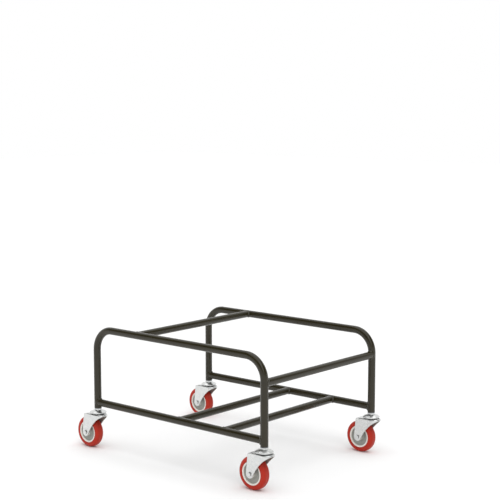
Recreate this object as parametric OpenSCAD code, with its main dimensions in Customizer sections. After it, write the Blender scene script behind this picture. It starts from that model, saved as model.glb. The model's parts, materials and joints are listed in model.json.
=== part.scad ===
// Low trolley for a leaning stack: a welded frame of round tube on four swivel casters.
// Millimetres. X runs along the hoops, Y from the near hoop to the far one, Z up.
// The origin is on the floor, in the middle of the four swivel axes.

/* [Frame tube] */
// Outside diameter of every frame tube
tube_d = 22.2; // [20:0.1:26]
// Wall of the frame tube
tube_wall = 1.6; // [1.2:0.1:2.4]
// Centre-line radius of the hoops' bends
bend_r = 64; // [50:1:68]

/* [Frame layout] */
// Distance between the uprights of one hoop, centre to centre
hoop_span = 662; // [600:1:780]
// Distance between the two hoops, centre to centre
hoop_gap = 498; // [420:1:620]
// Height of the top bars above the crossbars, centre to centre
top_rise = 227; // [222:1:320]
// Height of the front rail above the crossbars, centre to centre
front_rise = 158; // [120:1:162]
// Length of upright below the crossbar's centre line
foot_drop = 17; // [14:0.5:40]
// Place of the back rail along the hoops, from their middle
back_rail_x = -157; // [-200:1:-80]
// Place of the rear support rail along the crossbars, from their middle
rear_support_x = 12; // [-40:1:60]
// Place of the front support rail along the crossbars, from their middle
front_support_x = 184; // [120:1:240]

/* [Wheel] */
// Diameter over the tread
wheel_d = 95; // [85:1:105]
// Width of the tread
tread_w = 28; // [25:0.5:32]
// Thickness of the tread, from the core's rim to the running surface
tread_t = 14; // [10:0.5:16]
// Shoulder radius of the tread
shoulder_r = 10; // [6:0.5:12]
// Width of the core's rim
rim_w = 26; // [23:0.5:28]
// Wall of the core's rim, seen from the side as a pale ring
rim_wall = 5; // [3:0.5:6]
// Radius of the round lips of the core's rim
lip_r = 1; // [0.5:0.25:1.25]
// Thickness of the core's web
web_t = 7; // [5:0.5:10]
// Diameter of the core's hub
hub_d = 24; // [20:0.5:28]
// Number of ribs on each side of the web
rib_count = 8; // [5:1:12]
// Thickness of a rib
rib_t = 2.5; // [2:0.25:4]
// Depth of a thread guard's face below the rim's face
guard_depth = 3.5; // [1.5:0.25:4.5]
// Thickness of a thread guard
guard_t = 1.5; // [1:0.25:2.5]
// Width of a thread guard's flat lip, inside the rim
guard_lip_w = 2.5; // [1.5:0.25:4]
// Width of the foot of a thread guard's tapered eye, round the hub
guard_eye_w = 4.5; // [3:0.25:5]
// Width of the top of a thread guard's tapered eye
guard_eye_t = 1.5; // [1:0.25:2]
// Distance from the hub's end back to the top of the eye
guard_eye_clear = 2.5; // [1:0.25:4]
// Depth of the dish between the lip and the eye
guard_dish = 0.5; // [0.3:0.05:0.7]

/* [Fork] */
// Distance of the axle behind the swivel axis
trail = 35.5; // [28:0.5:42]
// Thickness of the pressed sheet
fork_sheet = 3; // [2.5:0.1:3.5]
// Distance between the legs, inside
leg_gap = 36; // [34:0.5:40]
// Radius of a leg's round end
leg_end_r = 12; // [10:0.5:14]
// Radius of the sweep of a leg's leading edge
leg_sweep_r = 140; // [110:1:180]
// Distance from the swivel axis to the crown's round front
crown_front = 31; // [29:0.5:34]
// Distance from the swivel axis to the crown's trailing edge
crown_tail = 42; // [39:0.5:46]
// Distance from the swivel axis to the bend line behind which the tail slopes down
tail_bend = 18; // [17:0.5:24]
// Slope of the tail, in degrees
tail_slope = 8; // [2:1:12]
// Clearance between the wheel and the crown above it
crown_clear = 10.5; // [8:0.5:14]
// Outside radius of the bends round the crown
fold_r = 4; // [3.5:0.25:4.5]

/* [Swivel] */
// Gap between the top race and the crown
swivel_gap = 2.8; // [2.4:0.1:3.2]
// Radius of the top race
race_r = 25.5; // [25:0.25:28]
// Height of the top race
race_h = 9.2; // [8:0.2:11]
// Height of the straight rim of the top race
race_rim_h = 2.5; // [1.5:0.25:3]
// Radius of the circle of upper balls
upper_track_r = 14; // [13.5:0.25:14.25]
// Diameter of an upper ball
upper_ball_d = 5.56; // [5.2:0.02:5.8]
// Number of upper balls
upper_ball_count = 13; // [8:1:13]
// Radius of the circle of lower balls
lower_track_r = 11; // [10.5:0.25:12]
// Diameter of a lower ball
lower_ball_d = 4.76; // [4:0.02:5]
// Number of lower balls
lower_ball_count = 12; // [8:1:13]
// Radius of the lower race
lower_race_r = 15; // [14.5:0.25:16]
// Thickness of the lower race
lower_race_t = 3; // [2.5:0.25:4]
// Diameter of the king pin
pin_d = 10; // [9:0.25:11]
// Diameter of the king pin's riveted head
pin_head_d = 16; // [14:0.5:18]
// Height of the king pin's riveted head
pin_head_h = 3; // [2:0.25:4]
// Depth of a ball track in the sheet that carries it
track_depth = 1.2; // [0.8:0.1:1.5]

/* [Stem and axle] */
// Diameter of the threaded stem
stem_d = 12; // [10:0.5:14]
// Length of the threaded stem above its collar
stem_l = 28; // [20:1:40]
// Width across the flats of the stem's hexagon collar
collar_af = 19; // [17:0.5:20]
// Height of the stem's hexagon collar
collar_h = 4; // [3:0.25:8]
// Thickness of the insert's flange under the upright's foot
flange_t = 2; // [1.5:0.25:4]
// Length of the insert inside the upright
insert_l = 30; // [22:1:45]
// Diameter of the axle bolt
axle_d = 8; // [6:0.5:9]
// Outside diameter of the axle sleeve
sleeve_d = 12; // [11:0.25:14]
// Width across the flats of the axle's bolt head and nut
axle_af = 11; // [10:0.5:15]
// Height of the axle's bolt head
bolt_head_h = 3.5; // [3:0.1:7]
// Height of the axle's nut, with the round collar that holds its lock ring
nut_h = 6.5; // [5:0.25:9]
// Height of the nut's round collar
nut_collar_h = 2; // [1.5:0.25:2.5]
// Length of bolt that stands out of the nut
bolt_end_l = 2.5; // [1:0.25:5]

/* [Hidden] */
$fn = 64;
// Clearance at welded, bonded and pressed joints
seat_gap = 0.05;
// Running clearance of the hub on its sleeve
run_gap = 0.08;
// Clearance of a bolt in a leg and in its sleeve
bolt_gap = 0.15;
// Clearance between parts that turn past each other at the balls
ball_gap = 0.3;
// Clearance of the king pin in the crown
pin_gap = 1;
// Play of the hub between the legs, on each side
hub_play = 0.5;
// Overrun of cuts past the faces they open
cut = 1;
// Bite of one arc of an outline into the next, so that they join
bite = 0.05;
// Chamfer of bolt heads, nuts and pin ends
chamfer = 0.8;
// Step from a nut's flats in to its round collar
collar_step = 0.3;
// Chamfer of a nut's round collar
collar_chamfer = 0.4;

// Frame
tube_r = tube_d / 2;
bore_r = tube_r - tube_wall;
wheel_r = wheel_d / 2;

// Heights above the floor, from the wheel up
axle_z = wheel_r;
crown_under_z = wheel_d + crown_clear;
crown_z = crown_under_z + fork_sheet;
rim_z = crown_z + swivel_gap;
seat_z = rim_z + race_h;
collar_z = seat_z + collar_h;
foot_z = collar_z + flange_t;
crossbar_z = foot_z + foot_drop;
top_z = crossbar_z + top_rise;
front_rail_z = crossbar_z + front_rise;

// Wheel
rim_r = wheel_r - tread_t;
rim_bore_r = rim_r - rim_wall;
hub_r = hub_d / 2;
hub_l = leg_gap - 2 * hub_play;
shoulder = min(shoulder_r, tread_t, tread_w / 2);
guard_out = rim_w / 2 - guard_depth;
guard_in = guard_out - guard_t;

// Fork
leg_out = leg_gap / 2 + fork_sheet;
axle_pt = [-trail, axle_z];
tail_pt = [-crown_tail, crown_z - (crown_tail - tail_bend) * tan(tail_slope)];
nose_pt = [crown_front, crown_z - fold_r];
nose_x = crown_front - leg_out;
tail_l = max(trail + leg_end_r, crown_tail) + cut;
tail_drop = tail_l * tan(tail_slope);
fold_in_r = fold_r - fork_sheet;
tail_tangent = tangent_point(tail_pt, axle_pt, leg_end_r - bite);
sweep_pt = circle_meet(axle_pt, leg_sweep_r + leg_end_r - bite, nose_pt, leg_sweep_r);
nose_tangent = axle_pt + (leg_end_r - 2 * bite) * (sweep_pt - axle_pt) / norm(sweep_pt - axle_pt);

// Swivel
upper_ball_r = upper_ball_d / 2;
lower_ball_r = lower_ball_d / 2;
upper_ball_z = crown_z - track_depth + upper_ball_r + seat_gap;
lower_ball_z = crown_under_z - ball_gap - lower_ball_r;
lower_race_z = lower_ball_z - lower_ball_r - seat_gap + track_depth;
lower_race_under_z = lower_race_z - lower_race_t;
pin_r = pin_d / 2;
collar_r = collar_af / 2 / cos(30);
axle_hex_r = axle_af / 2 / cos(30);
nut_collar_r = axle_af / 2 - collar_step;
seat_r = collar_r;
dome_z = dome_centre(race_r, rim_z + race_rim_h, seat_r, seat_z);
dome_r = norm([race_r, rim_z + race_rim_h - dome_z]);

BLACK = [0.13, 0.12, 0.11];
ZINC = [0.84, 0.85, 0.86];
STEEL = [0.62, 0.63, 0.65];
RED = [0.72, 0.17, 0.12];
WHITE = [0.93, 0.92, 0.88];
GREY = [0.58, 0.59, 0.56];

// Corner names, with their sides along X and Y
CORNERS = [["near_left", -1, -1], ["near_right", 1, -1], ["far_left", -1, 1], ["far_right", 1, 1]];
FRAME_NODES = ["near_hoop", "far_hoop", "near_crossbar", "far_crossbar", "back_rail", "front_rail",
    "rear_support_rail", "front_support_rail", "stem_inserts"];
CASTER_NODES = ["stem", "top_race", "upper_balls", "fork", "lower_balls", "lower_race",
    "axle_bolt", "axle_nut", "axle_sleeve", "wheel_core", "tyre", "thread_guards"];

// Point where the line from p touches the circle round c, on the left of the way from c to p
function tangent_point(p, c, r) =
    let (d = p - c, turn = atan2(d[1], d[0]) + acos(r / norm(d)))
    c + r * [cos(turn), sin(turn)];

// Point at distance ra from a and rb from b, on the right of the way from a to b
function circle_meet(a, ra, b, rb) =
    let (d = norm(b - a), u = (b - a) / d, along = (ra * ra - rb * rb + d * d) / (2 * d))
    a + along * u + sqrt(ra * ra - along * along) * [u[1], -u[0]];

// Height of the centre of the arc, with its centre on the axis, through two points of a dome
function dome_centre(r1, z1, r2, z2) = (r2 * r2 + z2 * z2 - r1 * r1 - z1 * z1) / (2 * (z2 - z1));

// Straight tube along Z
module tube_run(length, r, hole) {
    linear_extrude(length) tube_ring(r, hole);
}

// Section of a tube, open if it has a hole
module tube_ring(r, hole) {
    difference() {
        circle(r);
        if (hole > 0) circle(hole);
    }
}

// Hoop in the plane Y = 0, as a tube or, with no hole, as a rod that cuts what meets it
module hoop_form(r, hole) {
    bend_z = top_z - bend_r;
    for (side = [-1, 1])
        translate([side * hoop_span / 2, 0, foot_z]) tube_run(bend_z - foot_z, r, hole);
    translate([bend_r - hoop_span / 2, 0, top_z]) rotate([0, 90, 0])
        tube_run(hoop_span - 2 * bend_r, r, hole);
    for (side = [0, 1]) mirror([side, 0, 0])
        translate([hoop_span / 2 - bend_r, 0, bend_z]) rotate([90, 0, 0])
            rotate_extrude(angle = 90) translate([bend_r, 0]) tube_ring(r, hole);
}

module hoop_at(y) {
    color(BLACK) translate([0, y, 0]) hoop_form(tube_r, bore_r);
}

// Tube along X from upright to upright, its ends coped to them
module crossbar_at(y) {
    color(BLACK) difference() {
        translate([-hoop_span / 2, y, crossbar_z]) rotate([0, 90, 0]) tube_run(hoop_span, tube_r, bore_r);
        translate([0, y, 0]) hoop_form(tube_r + seat_gap, 0);
    }
}

// Tube along Y from hoop to hoop, its ends coped to them
module hoop_rail(x, z) {
    color(BLACK) difference() {
        translate([x, hoop_gap / 2, z]) rotate([90, 0, 0]) tube_run(hoop_gap, tube_r, bore_r);
        for (side = [-1, 1]) translate([0, side * hoop_gap / 2, 0]) hoop_form(tube_r + seat_gap, 0);
    }
}

// Tube along Y from crossbar to crossbar, its ends coped to them
module crossbar_rail(x) {
    color(BLACK) difference() {
        translate([x, hoop_gap / 2, crossbar_z]) rotate([90, 0, 0]) tube_run(hoop_gap, tube_r, bore_r);
        for (side = [-1, 1])
            translate([-hoop_span / 2, side * hoop_gap / 2, crossbar_z]) rotate([0, 90, 0])
                tube_run(hoop_span, tube_r + seat_gap, 0);
    }
}

module near_hoop() { hoop_at(-hoop_gap / 2); }
module far_hoop() { hoop_at(hoop_gap / 2); }
module near_crossbar() { crossbar_at(-hoop_gap / 2); }
module far_crossbar() { crossbar_at(hoop_gap / 2); }
module back_rail() { hoop_rail(back_rail_x, top_z); }
module front_rail() { hoop_rail(hoop_span / 2, front_rail_z); }
module rear_support_rail() { crossbar_rail(rear_support_x); }
module front_support_rail() { crossbar_rail(front_support_x); }

// Puts a piece of a caster on its corner
module at_corner(c) {
    translate([c[1] * hoop_span / 2, c[2] * hoop_gap / 2, 0]) children();
}

// Threaded plug in an upright's foot, with a flange as wide as the tube
module stem_inserts() {
    color(STEEL) for (c = CORNERS) at_corner(c) difference() {
        union() {
            translate([0, 0, collar_z]) cylinder(r = tube_r, h = flange_t);
            translate([0, 0, collar_z]) cylinder(r = bore_r - seat_gap, h = flange_t + insert_l);
        }
        translate([0, 0, collar_z - cut])
            cylinder(r = stem_d / 2 + seat_gap, h = flange_t + insert_l + 2 * cut);
    }
}

// Stem with its collar above the top race and the king pin, riveted over, below it
module stem() {
    head_z = lower_race_under_z - pin_head_h;
    color(ZINC) {
        translate([0, 0, seat_z]) cylinder(r = collar_r, h = collar_h, $fn = 6);
        translate([0, 0, collar_z]) cylinder(r = stem_d / 2, h = stem_l - chamfer);
        translate([0, 0, collar_z + stem_l - chamfer])
            cylinder(r1 = stem_d / 2, r2 = stem_d / 2 - chamfer, h = chamfer);
        translate([0, 0, head_z]) cylinder(r = pin_r, h = seat_z - head_z);
        translate([0, 0, head_z + chamfer]) cylinder(r = pin_head_d / 2, h = pin_head_h - chamfer);
        translate([0, 0, head_z]) cylinder(r1 = pin_head_d / 2 - chamfer, r2 = pin_head_d / 2, h = chamfer);
    }
}

// Domed disc with a straight rim and a ball track underneath
module top_race() {
    color(ZINC) rotate_extrude() difference() {
        intersection() {
            translate([pin_r + seat_gap, rim_z]) square([race_r - pin_r - seat_gap, race_h]);
            translate([0, dome_z]) circle(dome_r, $fn = 128);
        }
        translate([upper_track_r, upper_ball_z]) circle(upper_ball_r + ball_gap);
    }
}

// Ring of loose balls
module ball_ring(count, ring_r, ball_r, z) {
    for (i = [0:count - 1]) rotate(i * 360 / count) translate([ring_r, 0, z]) sphere(ball_r);
}

module upper_balls() { color(STEEL) ball_ring(upper_ball_count, upper_track_r, upper_ball_r, upper_ball_z); }
module lower_balls() { color(STEEL) ball_ring(lower_ball_count, lower_track_r, lower_ball_r, lower_ball_z); }

// Thick washer with a ball track, held up by the king pin's head
module lower_race() {
    color(STEEL) rotate_extrude() difference() {
        translate([pin_r + seat_gap, lower_race_under_z])
            square([lower_race_r - pin_r - seat_gap, lower_race_t]);
        translate([lower_track_r, lower_ball_z]) circle(lower_ball_r + seat_gap);
    }
}

// Half of the section across both legs, from the middle out, its top edge rounded
module half_section(half, top, edge_r) {
    square([half, top - edge_r]);
    square([half - edge_r, top]);
    translate([half - edge_r, top - edge_r]) circle(edge_r);
}

// Fork before its side outline is cut, or the hollow inside it: legs, round front and sloping tail
module fork_form(half, top, edge_r) {
    difference() {
        union() {
            translate([-tail_l, 0, 0]) rotate([90, 0, 90]) linear_extrude(tail_l + nose_x)
                for (side = [0, 1]) mirror([side, 0]) half_section(half, top, edge_r);
            translate([nose_x, 0, 0]) rotate(-90) rotate_extrude(angle = 180) half_section(half, top, edge_r);
        }
        translate([-tail_bend, 0, top]) rotate([0, -tail_slope, 0]) translate([-tail_l, -half - cut, 0])
            cube([tail_l, 2 * (half + cut), tail_drop + cut]);
    }
}

// Fork's outline from the side above the axle: straight trailing and swept leading edges
module leg_outline() {
    difference() {
        polygon([tail_pt, [-crown_tail, crown_z + cut], nose_pt + [cut, fold_r + cut],
            nose_pt + [cut, 0], nose_pt, nose_tangent, axle_pt, tail_tangent]);
        translate(sweep_pt) circle(leg_sweep_r, $fn = 256);
    }
}

// Pressed yoke: a crown with a ball track on top and a leg on each side of the wheel
module fork() {
    color(ZINC) difference() {
        intersection() {
            fork_form(leg_out, crown_z, fold_r);
            translate([0, leg_out + cut, 0]) rotate([90, 0, 0]) {
                linear_extrude(2 * (leg_out + cut)) leg_outline();
                translate(axle_pt) cylinder(r = leg_end_r, h = 2 * (leg_out + cut));
            }
        }
        fork_form(leg_gap / 2, crown_under_z, fold_in_r);
        translate([0, 0, crown_under_z - cut]) cylinder(r = pin_r + pin_gap, h = fork_sheet + 2 * cut);
        rotate_extrude() translate([upper_track_r, upper_ball_z]) circle(upper_ball_r + seat_gap);
        translate([-trail, leg_out + cut, axle_z]) rotate([90, 0, 0])
            cylinder(r = axle_d / 2 + bolt_gap, h = 2 * (leg_out + cut));
    }
}

// Puts a piece that is drawn along Z on the axle, pointing from the near leg to the far one
module on_axle(y) {
    translate([-trail, y, axle_z]) rotate([-90, 0, 0]) children();
}

// Hexagon with its outer edge chamfered
module hex_block(r, h) {
    intersection() {
        cylinder(r = r, h = h, $fn = 6);
        union() {
            cylinder(r = r + cut, h = h - chamfer);
            translate([0, 0, h - chamfer]) cylinder(r1 = r, r2 = r - chamfer, h = chamfer);
        }
    }
}

module axle_bolt() {
    shank_l = 2 * leg_out + nut_h + bolt_end_l;
    color(ZINC) {
        on_axle(-leg_out) rotate([180, 0, 0]) hex_block(axle_hex_r, bolt_head_h);
        on_axle(-leg_out) cylinder(r = axle_d / 2, h = shank_l - chamfer);
        on_axle(shank_l - leg_out - chamfer)
            cylinder(r1 = axle_d / 2, r2 = axle_d / 2 - chamfer, h = chamfer);
    }
}

// Lock nut: a hexagon with a round collar on its outer end
module axle_nut() {
    color(ZINC) on_axle(leg_out) difference() {
        union() {
            hex_block(axle_hex_r, nut_h - nut_collar_h);
            cylinder(r = nut_collar_r, h = nut_h - collar_chamfer);
            translate([0, 0, nut_h - collar_chamfer])
                cylinder(r1 = nut_collar_r, r2 = nut_collar_r - collar_chamfer, h = collar_chamfer);
        }
        translate([0, 0, -cut]) cylinder(r = axle_d / 2 + seat_gap, h = nut_h + 2 * cut);
    }
}

module axle_sleeve() {
    color(STEEL) on_axle(-leg_gap / 2) tube_run(leg_gap, sleeve_d / 2, axle_d / 2 + bolt_gap);
}

// Turns a profile, drawn as radius and place along the axle, round the axle
module on_wheel() {
    translate([-trail, 0, axle_z]) rotate([-90, 0, 0]) rotate_extrude($fn = 128) children();
}

// Section of the core's rim, its four lips rounded
module rim_section() {
    wall = rim_r - seat_gap - rim_bore_r;
    translate([rim_bore_r, lip_r - rim_w / 2]) square([wall, rim_w - 2 * lip_r]);
    translate([rim_bore_r + lip_r, -rim_w / 2]) square([wall - 2 * lip_r, rim_w]);
    for (r = [rim_bore_r + lip_r, rim_bore_r + wall - lip_r], side = [-1, 1])
        translate([r, side * (rim_w / 2 - lip_r)]) circle(lip_r);
}

// Moulded core: hub, ribbed web and rim
module wheel_core() {
    hub_bore_r = sleeve_d / 2 + run_gap;
    color(WHITE) {
        on_wheel() {
            translate([hub_bore_r, -hub_l / 2]) square([hub_r - hub_bore_r, hub_l]);
            translate([hub_bore_r, -web_t / 2]) square([rim_r - seat_gap - hub_bore_r, web_t]);
            rim_section();
        }
        rib_in = (hub_bore_r + hub_r) / 2;
        rib_out = rim_bore_r + rim_wall / 2;
        on_axle(-guard_in) for (i = [0:rib_count - 1]) rotate(i * 360 / rib_count)
            translate([rib_in, -rib_t / 2, 0]) cube([rib_out - rib_in, rib_t, 2 * guard_in]);
    }
}

// Tread with round shoulders
module tyre() {
    color(RED) on_wheel() intersection() {
        translate([rim_r, -tread_w / 2]) square([tread_t, tread_w]);
        union() {
            translate([0, -tread_w / 2]) square([wheel_r - shoulder, tread_w]);
            translate([0, shoulder - tread_w / 2]) square([wheel_r, tread_w - 2 * shoulder]);
            for (side = [-1, 1])
                translate([wheel_r - shoulder, side * (tread_w / 2 - shoulder)]) circle(shoulder);
        }
    }
}

// Section of a thread guard: flat lip, shallow dish and an eye that tapers along the hub
module guard_section() {
    eye_r = hub_r + seat_gap;
    edge_r = rim_bore_r - seat_gap;
    floor_y = guard_out - guard_dish;
    eye_y = hub_l / 2 - guard_eye_clear;
    polygon([[eye_r, guard_in], [edge_r, guard_in], [edge_r, guard_out], [edge_r - guard_lip_w, guard_out],
        [edge_r - guard_lip_w - guard_dish, floor_y], [eye_r + guard_eye_w, floor_y],
        [eye_r + guard_eye_t, eye_y], [eye_r, eye_y]]);
}

// Discs that close the space between hub and rim, one on each side
module thread_guards() {
    color(GREY) on_wheel() for (side = [0, 1]) mirror([0, side]) guard_section();
}

near_hoop();
far_hoop();
near_crossbar();
far_crossbar();
back_rail();
front_rail();
rear_support_rail();
front_support_rail();
stem_inserts();
for (c = CORNERS) at_corner(c) {
    stem();
    top_race();
    upper_balls();
    fork();
    lower_balls();
    lower_race();
    axle_bolt();
    axle_nut();
    axle_sleeve();
    wheel_core();
    tyre();
    thread_guards();
}
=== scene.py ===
"""Looks of a low trolley for a leaning stack: a welded tube frame on four swivel casters.

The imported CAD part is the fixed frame. Tubes, forks, stems and bearings stay as CAD nodes and get real
finishes. Tyres, wheel cores, thread guards, top races, axle bolts and nuts are finer surfaces that stand
for theirs, and weld beads close the joints of the tubes. Sizes in the classes are in millimetres.
"""

import json
import logging
from dataclasses import dataclass
from enum import Enum
from math import radians
from typing import Any, Mapping, Sequence

import bmesh
import bpy
import numpy as np
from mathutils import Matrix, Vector

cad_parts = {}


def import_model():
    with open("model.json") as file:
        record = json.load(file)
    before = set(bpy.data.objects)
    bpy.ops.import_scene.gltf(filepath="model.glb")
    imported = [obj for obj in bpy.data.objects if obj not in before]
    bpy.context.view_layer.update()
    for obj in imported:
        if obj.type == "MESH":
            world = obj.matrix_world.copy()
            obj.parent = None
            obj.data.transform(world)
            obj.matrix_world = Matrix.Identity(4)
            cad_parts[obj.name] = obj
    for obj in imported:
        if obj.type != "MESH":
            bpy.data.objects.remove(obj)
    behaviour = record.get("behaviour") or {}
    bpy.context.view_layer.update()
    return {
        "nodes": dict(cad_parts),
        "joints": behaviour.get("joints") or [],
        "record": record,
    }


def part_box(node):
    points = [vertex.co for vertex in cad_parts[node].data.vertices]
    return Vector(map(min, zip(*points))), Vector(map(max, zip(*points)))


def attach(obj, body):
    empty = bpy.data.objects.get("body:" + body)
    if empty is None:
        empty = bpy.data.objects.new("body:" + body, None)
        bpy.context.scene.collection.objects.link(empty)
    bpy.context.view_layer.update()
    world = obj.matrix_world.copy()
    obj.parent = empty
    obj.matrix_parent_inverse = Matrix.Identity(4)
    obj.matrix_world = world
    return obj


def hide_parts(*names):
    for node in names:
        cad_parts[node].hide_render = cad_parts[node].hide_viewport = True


LOG = logging.getLogger("trolley")
MM = 0.001
FULL_TURN = 2 * np.pi

Array = np.ndarray
Point = Sequence[float]
Tree = bpy.types.NodeTree
Node = bpy.types.Node
Socket = bpy.types.NodeSocket

# Numbers of the Mix node's sockets, whose names repeat: the share, then each kind's two inputs and output
MIX_SHARE = 0
MIX_COLOUR_A, MIX_COLOUR_B, MIXED_COLOUR = 6, 7, 2
MIX_FLOAT_A, MIX_FLOAT_B, MIXED_FLOAT = 2, 3, 0


class Axis(Enum):
    """Direction that a turned shape is built along, after its two cross directions."""

    UP = ((1, 0, 0), (0, 1, 0), (0, 0, 1))
    AXLE = ((1, 0, 0), (0, 0, -1), (0, 1, 0))


class Slot(Enum):
    """Material slots of the record."""

    COAT = "black_powder_coat"
    ZINC = "zinc_plate"
    STEEL = "bare_steel"
    TREAD = "red_polyurethane"
    NYLON = "white_nylon"
    GUARD = "grey_plastic"


class Corner(Enum):
    """Corners of the trolley, each with its caster."""

    NEAR_LEFT = "near_left"
    NEAR_RIGHT = "near_right"
    FAR_LEFT = "far_left"
    FAR_RIGHT = "far_right"


@dataclass(frozen=True)
class Skin:
    """Closed surface: its points, its four-sided faces and the end rings that are capped."""

    points: Array
    quads: Array
    caps: tuple[Array, ...] = ()

    def faces(self, first: int) -> list[list[int]]:
        """List the faces with the points counted from first."""
        return (self.quads + first).tolist() + [(cap + first).tolist() for cap in self.caps]


def linear(code: str) -> tuple[float, float, float, float]:
    """Turn an sRGB hex value into linear light: a straight foot, then a power curve, as sRGB defines it.

    Args:
        code: colour as "#rrggbb".

    Returns:
        Linear red, green, blue and an alpha of 1.
    """
    srgb = np.array([int(code[i:i + 2], 16) for i in (1, 3, 5)]) / 255
    low, high = srgb / 12.92, ((srgb + 0.055) / 1.055) ** 2.4
    return (*np.where(srgb <= 0.04045, low, high).tolist(), 1.0)


def add(tree: Tree, kind: str, inputs: Mapping[Any, Any], **settings: Any) -> Node:
    """Add one node with its settings and inputs.

    Args:
        tree: node tree that takes the node.
        kind: Blender's name for the kind of node.
        inputs: socket name or number to a value, or to the output that feeds it.
        settings: the node's own options.

    Returns:
        The new node.
    """
    node = tree.nodes.new(kind)
    for option, value in settings.items():
        setattr(node, option, value)
    for key, value in inputs.items():
        if isinstance(value, Socket):
            tree.links.new(value, node.inputs[key])
        else:
            node.inputs[key].default_value = value
    return node


def box_mm(node: str) -> tuple[Array, Array]:
    """Lowest and highest corner of a CAD node, in millimetres."""
    low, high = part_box(node)
    return np.array(low) / MM, np.array(high) / MM


def middle_mm(node: str) -> Array:
    """Middle of a CAD node's box, in millimetres."""
    low, high = box_mm(node)
    return (low + high) / 2


def loft(rings: Array, looped: bool) -> Skin:
    """Join rows of closed rings into one closed skin of four-sided faces.

    Args:
        rings: points as rows, places round the ring, and x, y, z.
        looped: the last row joins the first; otherwise both end rows are capped.

    Returns:
        The skin.
    """
    rows, columns = rings.shape[:2]
    index = np.arange(rows * columns).reshape(rows, columns)
    low, high = (index, np.roll(index, -1, 0)) if looped else (index[:-1], index[1:])
    quads = np.stack([low, np.roll(low, -1, 1), np.roll(high, -1, 1), high], -1).reshape(-1, 4)
    return Skin(rings.reshape(-1, 3), quads, () if looped else (index[0, ::-1], index[-1]))


def rounded_loop(corners: Sequence[Point], radii: Sequence[float], steps: int = 6) -> Array:
    """Closed outline with every corner swapped for an arc.

    An arc's centre lies on the corner's bisector, at the radius over the sine of half the corner's angle.
    Its points turn evenly from the touching point on one side to that on the other.

    Args:
        corners: corner points of the outline, in order.
        radii: arc radius at each corner.
        steps: points on each arc.

    Returns:
        Points of the outline, one row each.
    """
    corner, radius = np.asarray(corners, float), np.asarray(radii, float)[:, None]
    back, ahead = np.roll(corner, 1, 0) - corner, np.roll(corner, -1, 0) - corner
    back /= np.linalg.norm(back, axis=1, keepdims=True)
    ahead /= np.linalg.norm(ahead, axis=1, keepdims=True)
    half = np.arccos(np.clip((back * ahead).sum(1, keepdims=True), -1, 1)) / 2
    bisector = (back + ahead) / np.linalg.norm(back + ahead, axis=1, keepdims=True)
    centre = corner + bisector * radius / np.sin(half)
    start = corner + back * radius / np.tan(half) - centre
    stop = corner + ahead * radius / np.tan(half) - centre
    first = np.arctan2(start[:, 1], start[:, 0])
    turn = (np.arctan2(stop[:, 1], stop[:, 0]) - first + np.pi) % FULL_TURN - np.pi
    angle = first[:, None] + turn[:, None] * np.linspace(0, 1, steps)
    arcs = centre[:, None] + radius[:, None] * np.stack([np.cos(angle), np.sin(angle)], -1)
    return arcs.reshape(-1, 2)


def evened(outline: Array, count: int) -> Array:
    """Closed outline with its points spread evenly along it.

    Args:
        outline: points of the outline, one row each.
        count: number of points wanted.

    Returns:
        The new points.
    """
    ring = np.vstack([outline, outline[:1]])
    along = np.concatenate([[0], np.cumsum(np.linalg.norm(np.diff(ring, axis=0), axis=1))])
    wanted = np.linspace(0, along[-1], count, endpoint=False)
    return np.stack([np.interp(wanted, along, ring[:, k]) for k in (0, 1)], -1)


def turned(radius: Array, place: Array, centre: Point, axis: Axis) -> Array:
    """Rings of a turned shape: each point is its radius out at its angle and its place along the axis.

    Args:
        radius: radius by row and by place round the ring.
        place: place along the axis by row.
        centre: point that the places count from.
        axis: direction of the axis.

    Returns:
        Points as rows, places round the ring, and x, y, z.
    """
    angle = np.linspace(0, FULL_TURN, radius.shape[1], endpoint=False)
    flat = np.stack([radius * np.cos(angle), radius * np.sin(angle), place[:, None] + 0 * radius], -1)
    return flat @ np.array(axis.value, float) + np.asarray(centre, float)


def revolved(outline: Array, centre: Point, axis: Axis, columns: int = 144) -> Skin:
    """Closed ring made by turning a closed outline of radius and place round an axis.

    Args:
        outline: radius and place along the axis, one row per point.
        centre: point that the places count from.
        axis: direction of the axis.
        columns: places round the ring.

    Returns:
        The ring's skin.
    """
    radius = np.repeat(outline[:, :1], columns, 1)
    return loft(turned(radius, outline[:, 1], centre, axis), True)


def hexagon(across: float, columns: int) -> Array:
    """Radius of a hexagon by angle: half the width across its flats over the cosine from a flat's middle.

    Args:
        across: width across the flats.
        columns: places round the hexagon.

    Returns:
        Radius at each place.
    """
    angle = np.linspace(0, FULL_TURN, columns, endpoint=False)
    return across / 2 / np.cos((angle + np.pi / 6) % (np.pi / 3) - np.pi / 6)


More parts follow.
